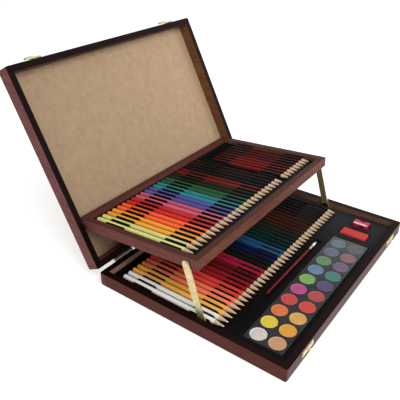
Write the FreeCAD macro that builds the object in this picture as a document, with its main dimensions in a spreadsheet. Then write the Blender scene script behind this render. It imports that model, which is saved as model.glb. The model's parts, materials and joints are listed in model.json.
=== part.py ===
import FreeCAD, Part
import math
import os
import re

import Sketcher

# Wooden artist's case: a base and a hinged lid of four walls and a panel each, with a tray that is
# hung from the lid at its rear and carried by two arms at its front, so that it swings up and
# faces forward as the lid opens.  All lengths are millimetres, all angles degrees.
# Frame: X is the width, -Y the front, +Y the hinge side, +Z up; the origin is the centre of the
# underside of the base.  Lid pieces are drawn as they lie on the closed case and then turned about
# the hinge; tray pieces are drawn in the tray's own frame, whose origin is the middle of its front
# top edge.

SIZES = {
    # walls and panels
    "case_width": 402.0,
    "case_depth": 310.0,
    "wall": 9.8,
    "base_height": 22.2,
    "lid_height": 22.5,
    "panel": 3.0,
    "rebate": 5.0,
    "edge_round": 2.5,
    "lid_gap": 0.3,
    # hinges
    "hinge_back": 2.8,
    "hinge_rise": 0.8,
    "hinge_inset": 53.0,
    "hinge_length": 38.0,
    "leaf_height": 16.0,
    "leaf_thick": 1.0,
    "barrel_diameter": 5.0,
    "hinge_pin": 2.0,
    "knuckle_gap": 0.2,
    "leaf_screw_spacing": 24.0,
    "leaf_screw_offset": 1.0,
    "screw_shank": 2.0,
    "screw_head": 4.4,
    "screw_length": 6.5,
    "screw_head_thick": 0.7,
    # latches
    "latch_inset": 53.0,
    "latch_plate_width": 30.0,
    "latch_plate_height": 8.4,
    "latch_plate_drop": 3.3,
    "latch_plate_thick": 0.8,
    "knob_diameter": 4.4,
    "knob_length": 3.6,
    "knob_drop": 7.5,
    "lid_plate_width": 27.0,
    "lid_plate_height": 10.0,
    "lid_plate_rise": 5.4,
    "lid_plate_screw_drop": 3.0,
    "latch_screw_inset": 3.2,
    "hasp_pivot_rise": 4.3,
    "hasp_standoff": 2.3,
    "hasp_width": 14.0,
    "hasp_length": 17.0,
    "hasp_thick": 0.8,
    "hasp_knuckle": 3.0,
    "hasp_pin": 1.2,
    "hasp_lip": 2.4,
    "hasp_slack": 0.6,
    "hasp_ear": 3.0,
    # tray and its carriers
    "tray_side_gap": 4.2,
    "tray_front_gap": 19.6,
    "tray_height": 15.6,
    "tray_wall": 10.0,
    "tray_overhang": 5.5,
    "pivot_from_rear": 70.1,
    "pivot_rise": 8.0,
    "pivot_below_rim": 7.16,
    "pivot_pin": 4.0,
    "pivot_depth": 7.0,
    "pivot_bite": 6.0,
    "arm_pivot_back": 16.93,
    "arm_pivot_below": 9.2,
    "arm_width": 11.0,
    "arm_foot_width": 12.6,
    "arm_thick": 1.5,
    "arm_reach": 87.6,
    "arm_tail": 6.6,
    "arm_stand": 1.2,
    "rivet": 4.0,
    "rivet_head": 8.0,
    "rivet_head_thick": 1.1,
    "stud_from_middle": 23.14,
    "stud_below_rim": 7.5,
    "stud": 2.4,
    "stud_head": 11.0,
    "stud_head_thick": 0.7,
    "stud_play": 0.4,
    "foot_slide_up": 1.4,
    "foot_slide_down": 4.0,
    "foot_slide_side": 2.4,
    # inserts
    "insert_gap": 0.3,
    "deck_below_rim": 8.0,
    "tray_insert_height": 6.4,
    "deck_skin": 1.4,
    "lower_seat": 2.9,
    "upper_seat": 0.1,
    "lower_rib_top": 6.3,
    "upper_rib_top": 4.85,
    "lower_rib_length": 33.8,
    "upper_rib_length": 36.4,
    "rib_ledge": 0.2,
    "notch_front": 72.0,
    "notch_rear": 8.0,
    "notch_width": 4.6,
    # pencils
    "pencil_diameter": 7.2,
    "pencil_gap": 0.3,
    "lead_diameter": 1.0,
    "cone_length": 14.5,
    "end_chamfer": 1.2,
    "tip_margin": 10.9,
    "end_margin": 8.1,
    "lower_end_margin": 19.8,
    "graphite_length": 155.0,
    "groove_overrun": 1.0,
    "lower_pitch": 9.97,
    "lower_left": 10.7,
    "lower_right": 21.8,
    "upper_pitch": 10.47,
    "upper_left": 9.7,
    "upper_right": 9.0,
    "lower_rib_front": 19.4,
    "lower_rib_rear": 120.0,
    "upper_rib_front": 15.1,
    "upper_rib_rear": 117.5,
    # paint set
    "paint_left": 15.2,
    "paint_right": 86.2,
    "paint_front": 10.2,
    "paint_depth": 58.0,
    "pan_pitch": 27.965,
    "pan_row_pitch": 27.9,
    "pan_diameter": 25.0,
    "pan_depth": 4.0,
    "cake_gap": 0.8,
    "recess_gap": 1.2,
    "recess_floor": 1.6,
    "cover_thick": 1.0,
    "cover_lift": 0.5,
    # brush, eraser and sharpener
    "brush_front": 84.2,
    "brush_left": 103.2,
    "brush_handle": 135.0,
    "brush_diameter": 5.6,
    "brush_neck": 3.6,
    "ferrule_length": 11.0,
    "ferrule_diameter": 4.6,
    "bristle_length": 14.0,
    "brush_below_deck": 0.2,
    "brush_channel": 13.0,
    "brush_room_behind": 12.0,
    "brush_room_ahead": 8.0,
    "eraser_right": 49.2,
    "eraser_front": 22.2,
    "eraser_width": 20.0,
    "eraser_length": 44.0,
    "eraser_height": 9.0,
    "eraser_proud": 1.5,
    "sharpener_right": 21.7,
    "sharpener_front": 31.7,
    "sharpener_width": 15.0,
    "sharpener_length": 25.0,
    "sharpener_height": 11.0,
    "sharpener_proud": 5.5,
    "sharpener_bore": 7.6,
    "sharpener_bore_depth": 20.0,
    "blade_thick": 0.6,
    "blade_width": 5.0,
    "blade_length": 23.0,
    "blade_inset": 1.0,
    "waist": 4.5,
    "waist_radius": 7.2,
    # panel brads
    "brad": 1.2,
    "brad_point": 0.4,
    # running fits
    "pin_play": 0.05,
}

# Places and sizes that follow from the sizes above.  Each name stands for its formula wherever a
# feature is bound to it.
DERIVED = {
    "half_width": "case_width / 2",
    "half_depth": "case_depth / 2",
    "inner_x": "half_width - wall",
    "inner_y": "half_depth - wall",
    "lid_floor": "base_height + lid_gap",
    "lid_top": "lid_floor + lid_height",
    "hinge_y": "half_depth + hinge_back",
    "hinge_z": "base_height + hinge_rise",
    "hinge_x": "half_width - hinge_inset",
    "latch_x": "half_width - latch_inset",
    "barrel_radius": "barrel_diameter / 2",
    "tray_half": "inner_x - tray_side_gap",
    "tray_depth": "case_depth - pivot_from_rear - wall - tray_front_gap + tray_overhang",
    "tray_inner_x": "tray_half - tray_wall",
    "tray_deck_below": "tray_height - panel - tray_insert_height",
    "pivot_s": "tray_depth - tray_overhang",
    "deck": "base_height - deck_below_rim",
    "insert_x": "inner_x - insert_gap",
    "insert_y": "inner_y - insert_gap",
    "pencil_radius": "pencil_diameter / 2",
    "pencil_length": "tray_depth - 2 * tray_wall - tip_margin - end_margin",
    "lower_axis": "deck + lower_seat",
    "upper_axis": "upper_seat - tray_deck_below",
    "lower_end_y": "inner_y - lower_end_margin",
    "lower_tip_y": "lower_end_y - pencil_length",
    "upper_tip_s": "tray_wall + tip_margin",
    "upper_end_s": "upper_tip_s + pencil_length",
    "lower_first_x": "lower_left - inner_x",
    "upper_first_x": "upper_left - tray_inner_x",
    "groove_radius": "pencil_radius + pencil_gap",
    "lower_rib_width": "lower_pitch - 2 * (groove_radius + rib_ledge)",
    "upper_rib_width": "upper_pitch - 2 * (groove_radius + rib_ledge)",
    "stud_y": "0 - stud_from_middle",
    "stud_z": "base_height - stud_below_rim",
    "arm_inner": "tray_half + arm_stand",
    "arm_outer": "arm_inner + arm_thick",
    "paint_floor": "panel + recess_floor + insert_gap",
    "paint_top": "deck - cover_lift",
    "paint_x": "paint_left - inner_x",
    "paint_y": "paint_front - inner_y",
    "brush_y": "brush_front - inner_y",
    "brush_x": "brush_left - inner_x",
    "brush_z": "deck - brush_below_deck",
    "eraser_x": "inner_x - eraser_right - eraser_width",
    "eraser_y": "eraser_front - inner_y",
    "eraser_z": "deck + eraser_proud - eraser_height",
    "sharpener_x": "inner_x - sharpener_right - sharpener_width",
    "sharpener_y": "sharpener_front - inner_y",
    "sharpener_z": "deck + sharpener_proud - sharpener_height",
    "knob_z": "base_height - knob_drop",
    "hasp_pivot_z": "base_height + hasp_pivot_rise",
    "hasp_pivot_y": "0 - half_depth - hasp_standoff",
    "hasp_radius": "hasp_knuckle / 2",
}

LID_OPEN = 116.8
TRAY_TILT_OPEN = 4.49
HASP_OPEN = 162.0
PENCIL_GROUPS_LOWER = 4
PENCIL_GROUPS_UPPER = 3
GRAPHITE_PENCILS = 8
PAN_ROWS = 2
# Brads through the lid panel, from the middle of the panel: across, and back from the middle.
BRADS = ((-164.0, -140.0), (-164.0, -131.5), (162.0, -47.0), (183.0, -79.0))

SIDES = (("left", -1), ("right", 1))
# How far a cutting block runs past the faces that it cuts through.
OVERCUT = 1.0

doc = FreeCAD.newDocument("pencil_box")
sheet = doc.addObject("Spreadsheet::Sheet", "dims")
for row, (alias, number) in enumerate(SIZES.items(), 1):
    sheet.set(f"A{row}", alias)
    sheet.set(f"B{row}", str(number))
    sheet.setAlias(f"B{row}", alias)
reader = doc.addObject("Spreadsheet::Sheet", "reader")
doc.recompute()

WORD = re.compile(r"[a-z][a-z_]*")


def formula(text):
    """The text with every derived name written out and every size pointing at its cell."""
    def swap(match):
        word = match.group(0)
        if word in DERIVED:
            return f"({formula(DERIVED[word])})"
        if word in SIZES:
            return f"dims.{word}"
        return word
    return WORD.sub(swap, str(text))


def number(text):
    """The value of a formula, read back through a sheet that nothing else depends on."""
    reader.set("A1", f"={formula(text)}")
    doc.recompute([reader])
    return float(reader.get("A1"))


def bind(item, **sizes):
    for name, text in sizes.items():
        item.setExpression(name.replace("_", "."), formula(text))


def place(item, x, y, z):
    bind(item, Placement_Base_x=x, Placement_Base_y=y, Placement_Base_z=z)


def box(name, x, y, z, length, width, height):
    """A block from the corner (x, y, z)."""
    item = doc.addObject("Part::Box", name)
    bind(item, Length=length, Width=width, Height=height)
    place(item, x, y, z)
    return item


TURN = {
    "X": FreeCAD.Rotation(FreeCAD.Vector(0, 1, 0), 90),
    "Y": FreeCAD.Rotation(FreeCAD.Vector(1, 0, 0), -90),
    "Z": FreeCAD.Rotation(),
}


def rod(name, axis, x, y, z, radius, length):
    """A cylinder that starts at (x, y, z) and runs along +axis."""
    item = doc.addObject("Part::Cylinder", name)
    item.Placement.Rotation = TURN[axis]
    bind(item, Radius=radius, Height=length)
    place(item, x, y, z)
    return item


def taper(name, axis, x, y, z, start, end, length):
    """A cone or frustum that starts at (x, y, z) and runs along +axis."""
    item = doc.addObject("Part::Cone", name)
    item.Placement.Rotation = TURN[axis]
    bind(item, Radius1=start, Radius2=end, Height=length)
    place(item, x, y, z)
    return item


def fuse(name, items):
    item = doc.addObject("Part::MultiFuse", name)
    item.Shapes = items
    return item


def group(name, items):
    item = doc.addObject("Part::Compound", name)
    item.Links = items
    return item


def cut(name, base, tools):
    item = doc.addObject("Part::Cut", name)
    item.Base = base
    item.Tool = tools[0] if len(tools) == 1 else group(f"{name}_tools", tools)
    return item


def common(name, base, tool):
    item = doc.addObject("Part::Common", name)
    item.Base = base
    item.Tool = tool
    return item


NODES = {}


def node(name, item, placement=None):
    """Names an object as a finished sub-part and puts it in its place."""
    item.Label = name
    if placement is not None:
        item.Placement = placement
    NODES[name] = item


def about_x(angle, y, z):
    """A turn about a line along X through (y, z)."""
    return FreeCAD.Placement(FreeCAD.Vector(), FreeCAD.Rotation(FreeCAD.Vector(1, 0, 0), angle),
                             FreeCAD.Vector(0, y, z))


def plane_sketch(body, name, role, offset):
    """A sketch on one of the body's origin planes, moved along the plane's normal."""
    sketch = body.newObject("Sketcher::SketchObject", name)
    plane = next(item for item in body.Origin.OriginFeatures if item.Role == role)
    sketch.AttachmentSupport = (plane, [""])
    sketch.MapMode = "FlatFace"
    sketch.setExpression("AttachmentOffset.Base.z", formula(offset))
    return sketch


def hold(sketch, kind, text, *where):
    """A dimension of the sketch, bound to its formula."""
    index = sketch.addConstraint(Sketcher.Constraint(kind, *where, number(text)))
    sketch.setExpression(f"Constraints[{index}]", formula(text))


def rectangle(sketch, x0, x1, y0, y1):
    """A rectangle whose four edges are held at their distances from the origin."""
    first = sketch.GeometryCount
    corners = [FreeCAD.Vector(number(x), number(y), 0) for x, y in
               ((x0, y0), (x1, y0), (x1, y1), (x0, y1))]
    for corner in range(4):
        sketch.addGeometry(Part.LineSegment(corners[corner], corners[(corner + 1) % 4]))
    for corner in range(4):
        sketch.addConstraint(Sketcher.Constraint("Coincident", first + corner, 2,
                                                 first + (corner + 1) % 4, 1))
    for corner in (0, 2):
        sketch.addConstraint(Sketcher.Constraint("Horizontal", first + corner))
        sketch.addConstraint(Sketcher.Constraint("Vertical", first + corner + 1))
    hold(sketch, "DistanceX", x0, -1, 1, first, 1)
    hold(sketch, "DistanceY", y0, -1, 1, first, 1)
    hold(sketch, "DistanceX", x1, -1, 1, first + 1, 2)
    hold(sketch, "DistanceY", y1, -1, 1, first + 1, 2)


def bar(sketch, x, y0, y1, radius):
    """A bar along Y with round ends; y0 and y1 are the centres of the ends."""
    first = sketch.GeometryCount
    reach = number(radius)
    middle = number(x)
    low = FreeCAD.Vector(middle, number(y0), 0)
    high = FreeCAD.Vector(middle, number(y1), 0)
    side = FreeCAD.Vector(reach, 0, 0)
    up = FreeCAD.Vector(0, 0, 1)
    sketch.addGeometry(Part.ArcOfCircle(Part.Circle(low, up, reach), math.pi, 2 * math.pi))
    sketch.addGeometry(Part.LineSegment(low + side, high + side))
    sketch.addGeometry(Part.ArcOfCircle(Part.Circle(high, up, reach), 0, math.pi))
    sketch.addGeometry(Part.LineSegment(high - side, low - side))
    for edge, end in ((0, 2), (1, 2), (2, 2), (3, 2)):
        sketch.addConstraint(Sketcher.Constraint("Tangent", first + edge, end,
                                                 first + (edge + 1) % 4, 1))
    hold(sketch, "DistanceX", x, -1, 1, first, 3)
    hold(sketch, "DistanceY", y0, -1, 1, first, 3)
    hold(sketch, "DistanceY", y1, -1, 1, first + 2, 3)
    hold(sketch, "Radius", radius, first)
    sketch.addConstraint(Sketcher.Constraint("Vertical", first + 1))


def pad(body, name, sketch, length):
    item = body.newObject("PartDesign::Pad", name)
    item.Profile = sketch
    bind(item, Length=length)
    return item


def pocket(body, name, sketch, length, symmetric=False, upward=False):
    """A pocket that goes against its sketch's normal, or along it, or both ways."""
    before = measured(body)
    item = body.newObject("PartDesign::Pocket", name)
    item.Profile = sketch
    item.Midplane = symmetric
    item.Reversed = upward
    bind(item, Length=length)
    if not measured(body) < before:
        raise RuntimeError(f"{name} removes nothing")
    return item


def measured(body):
    doc.recompute()
    return body.Shape.Volume


def repeat(body, name, feature, sketch, count, pitch):
    """Copies of a feature in a row along the sketch's X axis."""
    item = body.newObject("PartDesign::LinearPattern", name)
    item.Originals = [feature]
    item.Direction = (sketch, ["H_Axis"])
    item.Occurrences = count
    bind(item, Length=f"{count - 1} * {pitch}")
    body.Tip = item
    doc.recompute()


def in_row(start, pitch, index):
    return f"{start} + {index} * {pitch}"


# ---------------------------------------------------------------- how many fit in a row
inner_width = number("2 * inner_x")
lower_span = inner_width - SIZES["lower_left"] - SIZES["lower_right"]
lower_count = int(lower_span / SIZES["lower_pitch"]) + 1
upper_span = number("2 * tray_inner_x") - SIZES["upper_left"] - SIZES["upper_right"]
upper_count = int(upper_span / SIZES["upper_pitch"]) + 1
coloured_count = upper_count - GRAPHITE_PENCILS - 1
pans_in_row = int((inner_width - SIZES["paint_left"] - SIZES["paint_right"]) / SIZES["pan_pitch"])
DERIVED["paint_length"] = f"{pans_in_row} * pan_pitch + 2 * cake_gap"

# ---------------------------------------------------------------- where the moving parts stand
hinge_y = number("hinge_y")
hinge_z = number("hinge_z")
lid_place = about_x(-LID_OPEN, hinge_y, hinge_z)
pivot_closed = FreeCAD.Vector(0, number("half_depth - pivot_from_rear"), number("base_height + pivot_rise"))
pivot_open = lid_place.multVec(pivot_closed)
tray_turn = FreeCAD.Rotation(FreeCAD.Vector(1, 0, 0), -TRAY_TILT_OPEN)
pivot_in_tray = FreeCAD.Vector(0, number("pivot_s"), -SIZES["pivot_below_rim"])
tray_place = FreeCAD.Placement(pivot_open - tray_turn.multVec(pivot_in_tray), tray_turn)
arm_top = tray_place.multVec(FreeCAD.Vector(0, SIZES["arm_pivot_back"], -SIZES["arm_pivot_below"]))
stud_at = FreeCAD.Vector(0, number("stud_y"), number("stud_z"))
arm_run = stud_at - arm_top
arm_place = FreeCAD.Placement(arm_top, FreeCAD.Rotation(
    FreeCAD.Vector(1, 0, 0), math.degrees(math.atan2(arm_run.y, -arm_run.z))))


# ---------------------------------------------------------------- base and lid walls
def shell(name, floor, height, panel_z, round_top):
    """Four walls in one piece: a rounded block, hollow, with a rebate for its panel."""
    block = box(f"{name}_block", "0 - half_width", "0 - half_depth", floor,
                "case_width", "case_depth", height)
    doc.recompute()
    rounded = doc.addObject("Part::Fillet", f"{name}_rounded")
    rounded.Base = block
    edge_z = number(f"{floor} + {height}") if round_top else number(floor)
    edges = []
    for index, edge in enumerate(block.Shape.Edges, 1):
        upright = abs(edge.Vertexes[0].Z - edge.Vertexes[1].Z) > 1
        if upright or abs(edge.CenterOfMass.z - edge_z) < 0.01:
            edges.append((index, SIZES["edge_round"], SIZES["edge_round"]))
    rounded.Edges = edges
    hollow = box(f"{name}_hollow", "0 - inner_x", "0 - inner_y", f"{floor} - {OVERCUT}",
                 "2 * inner_x", "2 * inner_y", f"{height} + 2 * {OVERCUT}")
    seat = box(f"{name}_seat", "0 - inner_x - rebate", "0 - inner_y - rebate", panel_z,
               "2 * (inner_x + rebate)", "2 * (inner_y + rebate)", "panel")
    return cut(f"{name}_shell", rounded, [hollow, seat])


WALL_REGIONS = {
    "front": ("0 - half_width", "0 - half_depth", "case_width", "wall"),
    "rear": ("0 - half_width", "inner_y", "case_width", "wall"),
    "left": ("0 - half_width", "0 - inner_y", "wall", "2 * inner_y"),
    "right": ("inner_x", "0 - inner_y", "wall", "2 * inner_y"),
}


def walls(name, whole, floor, height, holes, placement):
    """The four walls cut from the shell, the side walls butted between the long ones."""
    for side, (x, y, length, width) in WALL_REGIONS.items():
        region = box(f"{name}_{side}_region", x, y, floor, length, width, height)
        wall = common(f"{name}_{side}_blank", whole, region)
        drills = holes.get(side, [])
        if drills:
            wall = cut(f"{name}_{side}_drilled", wall, drills)
        node(f"{name}_{side}_wall", wall, placement)


def screw(name, x, y, z, inward):
    """A small round-head screw along Y; inward is the way that its shank runs."""
    start = y if inward > 0 else f"{y} - screw_length"
    head = y if inward < 0 else f"{y} - screw_head_thick"
    return fuse(name, [rod(f"{name}_shank", "Y", x, start, z, "screw_shank / 2", "screw_length"),
                       rod(f"{name}_head", "Y", x, head, z, "screw_head / 2", "screw_head_thick")])


def screw_hole(name, x, y, z, inward):
    start = y if inward > 0 else f"{y} - screw_length"
    return rod(name, "Y", x, start, z, "screw_shank / 2", "screw_length")


HINGE_FACE = "half_depth + leaf_thick"
LATCH_FACE = "0 - half_depth - latch_plate_thick"
BASE_LEAF_SCREW_Z = "hinge_z - barrel_radius - leaf_height / 2 + leaf_screw_offset"
LID_LEAF_SCREW_Z = "hinge_z + barrel_radius + leaf_height / 2 - leaf_screw_offset"
BASE_PLATE_SCREW_Z = "base_height - latch_plate_drop - latch_plate_height / 2"
LID_PLATE_SCREW_Z = "base_height + lid_plate_rise + lid_plate_height - lid_plate_screw_drop"


def hinge_screw_places(screw_z):
    for side, sign in SIDES:
        for end, way in (("a", -1), ("b", 1)):
            x = f"{sign} * hinge_x + {way} * leaf_screw_spacing / 2"
            yield f"{side}_{end}", x, HINGE_FACE, screw_z, -1


def latch_screw_places(screw_z, width):
    for side, sign in SIDES:
        for end, way in (("a", -1), ("b", 1)):
            x = f"{sign} * latch_x + {way} * ({width} / 2 - latch_screw_inset)"
            yield f"{side}_{end}", x, LATCH_FACE, screw_z, 1


def screws(name, places):
    return group(name, [screw(f"{name}_{tag}", *where) for tag, *where in places])


def holes(name, places):
    return [screw_hole(f"{name}_{tag}", *where) for tag, *where in places]


def stud_parts(name, sign, radius):
    """The stud's shank from inside the side wall to its head, beside the arm."""
    length = "pivot_bite + inner_x - arm_inner + stud_play + stud_head_thick"
    start = f"{sign} * (inner_x + pivot_bite)" if sign < 0 else "arm_inner - stud_play - stud_head_thick"
    return rod(name, "X", start, "stud_y", "stud_z", radius, length)


def pivot_hole(name, sign):
    start = "0 - inner_x - pivot_bite" if sign < 0 else "inner_x"
    return rod(name, "X", start, "half_depth - pivot_from_rear", "base_height + pivot_rise",
               "pivot_pin / 2", "pivot_bite")


base_holes = {
    "front": holes("base_latch_hole", latch_screw_places(BASE_PLATE_SCREW_Z, "latch_plate_width")),
    "rear": holes("base_hinge_hole", hinge_screw_places(BASE_LEAF_SCREW_Z)),
}
lid_holes = {
    "front": holes("lid_latch_hole", latch_screw_places(LID_PLATE_SCREW_Z, "lid_plate_width")),
    "rear": holes("lid_hinge_hole", hinge_screw_places(LID_LEAF_SCREW_Z)),
}
for side, sign in SIDES:
    base_holes[side] = [stud_parts(f"base_{side}_stud_hole", sign, "stud / 2")]
    lid_holes[side] = [pivot_hole(f"lid_{side}_pivot_hole", sign)]

base_shell = shell("base", "0", "base_height", "0", round_top=False)
walls("base", base_shell, "0", "base_height", base_holes, None)
lid_shell = shell("lid", "lid_floor", "lid_height", "lid_top - panel", round_top=True)
walls("lid", lid_shell, "lid_floor", "lid_height", lid_holes, lid_place)


def panel_blank(name, z):
    return box(name, "0 - inner_x - rebate", "0 - inner_y - rebate", z,
               "2 * (inner_x + rebate)", "2 * (inner_y + rebate)", "panel")


node("base_bottom_panel", panel_blank("base_panel", "0"))

brad_holes = []
brads = []
for index, (x, y) in enumerate(BRADS, 1):
    brad_holes.append(rod(f"brad_hole_{index}", "Z", x, y, "lid_top - panel", "brad / 2", "panel"))
    brads.append(rod(f"brad_{index}", "Z", x, y, "lid_top - panel - brad_point", "brad / 2",
                     "panel + brad_point"))
node("lid_panel", cut("lid_panel_cut", panel_blank("lid_panel_blank", "lid_top - panel"), brad_holes),
     lid_place)
node("lid_panel_brads", group("lid_brads", brads), lid_place)

# ---------------------------------------------------------------- hinges
KNUCKLES = 5


def hinge_leaf(name, sign, upward):
    """A leaf on the outside of the rear walls, with every other knuckle of the barrel."""
    left = f"{sign} * hinge_x - hinge_length / 2"
    pitch = f"(hinge_length / {KNUCKLES})"
    plate_z = "hinge_z + barrel_radius + knuckle_gap"
    web_z = "hinge_z"
    if not upward:
        plate_z = "hinge_z - barrel_radius - knuckle_gap - leaf_height"
        web_z = "hinge_z - barrel_radius - knuckle_gap"
    parts = [box(f"{name}_plate", left, "half_depth", plate_z, "hinge_length", "leaf_thick", "leaf_height")]
    bores = []
    for index in range(1 if upward else 0, KNUCKLES, 2):
        start = f"{left} + {index} * {pitch} + knuckle_gap / 2"
        length = f"{pitch} - knuckle_gap"
        parts.append(rod(f"{name}_knuckle_{index}", "X", start, "hinge_y", "hinge_z",
                         "barrel_radius", length))
        parts.append(box(f"{name}_web_{index}", start, "half_depth", web_z, length,
                         "leaf_thick", "barrel_radius + knuckle_gap"))
    play = "pin_play" if upward else "0"
    bores.append(rod(f"{name}_bore", "X", left, "hinge_y", "hinge_z", f"hinge_pin / 2 + {play}",
                     "hinge_length"))
    screw_z = LID_LEAF_SCREW_Z if upward else BASE_LEAF_SCREW_Z
    for tag, x, y, z, inward in hinge_screw_places(screw_z):
        if tag.startswith("left") == (sign < 0):
            bores.append(screw_hole(f"{name}_hole_{tag}", x, y, z, inward))
    return cut(f"{name}_cut", fuse(f"{name}_whole", parts), bores)


for side, sign in SIDES:
    node(f"hinge_{side}_base_leaf", hinge_leaf(f"{side}_base_leaf", sign, upward=False))
    node(f"hinge_{side}_lid_leaf", hinge_leaf(f"{side}_lid_leaf", sign, upward=True), lid_place)
node("hinge_pins", group("hinge_pin_pair", [
    rod(f"hinge_pin_{side}", "X", f"{sign} * hinge_x - hinge_length / 2", "hinge_y", "hinge_z",
        "hinge_pin / 2", "hinge_length") for side, sign in SIDES]))
node("hinge_screws_base", screws("base_leaf_screws", hinge_screw_places(BASE_LEAF_SCREW_Z)))
node("hinge_screws_lid", screws("lid_leaf_screws", hinge_screw_places(LID_LEAF_SCREW_Z)), lid_place)

# ---------------------------------------------------------------- latches
for side, sign in SIDES:
    middle = f"{sign} * latch_x"
    plate = box(f"{side}_base_plate", f"{middle} - latch_plate_width / 2", LATCH_FACE,
                "base_height - latch_plate_drop - latch_plate_height",
                "latch_plate_width", "latch_plate_thick", "latch_plate_height")
    plate_holes = [screw_hole(f"{side}_base_plate_{tag}", *where) for tag, *where in
                   latch_screw_places(BASE_PLATE_SCREW_Z, "latch_plate_width") if tag.startswith(side)]
    node(f"latch_{side}_base_plate", cut(f"{side}_base_plate_cut", plate, plate_holes))

    top_plate = box(f"{side}_lid_plate", f"{middle} - lid_plate_width / 2", LATCH_FACE,
                    "base_height + lid_plate_rise", "lid_plate_width", "latch_plate_thick",
                    "lid_plate_height")
    ears = []
    for end, way in (("a", -1), ("b", 1)):
        start = f"{middle} + {way} * (hasp_width / 2 + knuckle_gap + hasp_ear / 2) - hasp_ear / 2"
        ears.append(rod(f"{side}_ear_{end}", "X", start, "hasp_pivot_y", "hasp_pivot_z",
                        "hasp_radius", "hasp_ear"))
        ears.append(box(f"{side}_ear_web_{end}", start, "hasp_pivot_y", "hasp_pivot_z", "hasp_ear",
                        "hasp_standoff", "hasp_radius"))
    bores = [rod(f"{side}_ear_bore", "X", f"{middle} - lid_plate_width / 2", "hasp_pivot_y",
                 "hasp_pivot_z", "hasp_pin / 2", "lid_plate_width")]
    bores += [screw_hole(f"{side}_lid_plate_{tag}", *where) for tag, *where in
              latch_screw_places(LID_PLATE_SCREW_Z, "lid_plate_width") if tag.startswith(side)]
    node(f"latch_{side}_lid_plate", cut(f"{side}_lid_plate_cut",
                                        fuse(f"{side}_lid_plate_whole", [top_plate] + ears), bores),
         lid_place)

    knuckle = rod(f"{side}_hasp_knuckle", "X", f"{middle} - hasp_width / 2", "hasp_pivot_y",
                  "hasp_pivot_z", "hasp_radius", "hasp_width")
    flap = box(f"{side}_flap", f"{middle} - hasp_width / 2", "hasp_pivot_y - hasp_thick / 2",
               "hasp_pivot_z - hasp_length", "hasp_width", "hasp_thick", "hasp_length")
    lip = box(f"{side}_lip", f"{middle} - hasp_width / 2", "hasp_pivot_y - hasp_thick / 2 - hasp_lip",
              "hasp_pivot_z - hasp_length", "hasp_width", "hasp_lip", "hasp_thick")
    window = box(f"{side}_window", f"{middle} - knob_diameter / 2 - hasp_slack / 2",
                 "hasp_pivot_y - hasp_thick", "knob_z - knob_diameter / 2 - 2 * hasp_slack",
                 "knob_diameter + hasp_slack", "2 * hasp_thick", "knob_diameter + 3 * hasp_slack")
    bore = rod(f"{side}_hasp_bore", "X", f"{middle} - hasp_width / 2", "hasp_pivot_y",
               "hasp_pivot_z", "hasp_pin / 2 + pin_play", "hasp_width")
    swing = about_x(-HASP_OPEN, number("hasp_pivot_y"), number("hasp_pivot_z"))
    node(f"latch_{side}_hasp", cut(f"{side}_hasp_cut",
                                   fuse(f"{side}_hasp_whole", [knuckle, flap, lip]), [window, bore]),
         lid_place.multiply(swing))

node("latch_knobs", group("knob_pair", [
    rod(f"knob_{side}", "Y", f"{sign} * latch_x", f"{LATCH_FACE} - knob_length", "knob_z",
        "knob_diameter / 2", "knob_length") for side, sign in SIDES]))
node("latch_screws_base", screws("base_plate_screws",
                                 latch_screw_places(BASE_PLATE_SCREW_Z, "latch_plate_width")))
node("latch_screws_lid", screws("lid_plate_screws",
                                latch_screw_places(LID_PLATE_SCREW_Z, "lid_plate_width")), lid_place)
node("latch_hasp_pins", group("hasp_pin_pair", [
    rod(f"hasp_pin_{side}", "X", f"{sign} * latch_x - hasp_width / 2 - knuckle_gap - hasp_ear",
        "hasp_pivot_y", "hasp_pivot_z", "hasp_pin / 2",
        "hasp_width + 2 * (knuckle_gap + hasp_ear)") for side, sign in SIDES]),
     lid_place)

# ---------------------------------------------------------------- tray
TRAY_REGIONS = {
    "front": ("0 - tray_half", "0", "2 * tray_half", "tray_wall"),
    "rear": ("0 - tray_half", "tray_depth - tray_wall", "2 * tray_half", "tray_wall"),
    "left": ("0 - tray_half", "tray_wall", "tray_wall", "tray_depth - 2 * tray_wall"),
    "right": ("tray_inner_x", "tray_wall", "tray_wall", "tray_depth - 2 * tray_wall"),
}


def tray_bore(name, sign, y, z, radius, depth):
    """A bore from the outside of the tray's side wall."""
    start = "0 - tray_half" if sign < 0 else f"tray_half - ({depth})"
    return rod(name, "X", start, y, z, radius, depth)


def tray_bores(side, sign):
    return [tray_bore(f"tray_{side}_pivot_bore", sign, "pivot_s", "0 - pivot_below_rim",
                      "pivot_pin / 2 + pin_play", "pivot_depth + insert_gap"),
            tray_bore(f"tray_{side}_rivet_bore", sign, "arm_pivot_back", "0 - arm_pivot_below",
                      "rivet / 2", "pivot_depth")]


tray_seat = box("tray_seat", "0 - tray_inner_x - rebate", "tray_wall - rebate", "0 - tray_height",
                "2 * (tray_inner_x + rebate)", "tray_depth - 2 * (tray_wall - rebate)", "panel")
for side, (x, y, length, width) in TRAY_REGIONS.items():
    blank = box(f"tray_{side}_blank", x, y, "0 - tray_height", length, width, "tray_height")
    tools = [tray_seat]
    for end, sign in SIDES:
        if side == end or side in ("front", "rear"):
            tools += tray_bores(f"{side}_{end}", sign)
    node(f"tray_{side}_wall", cut(f"tray_{side}_cut", blank, tools), tray_place)
tray_panel = box("tray_panel", "0 - tray_inner_x - rebate", "tray_wall - rebate", "0 - tray_height",
                 "2 * (tray_inner_x + rebate)", "tray_depth - 2 * (tray_wall - rebate)", "panel")
node("tray_bottom_panel", group("tray_floor", [tray_panel]), tray_place)

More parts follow.
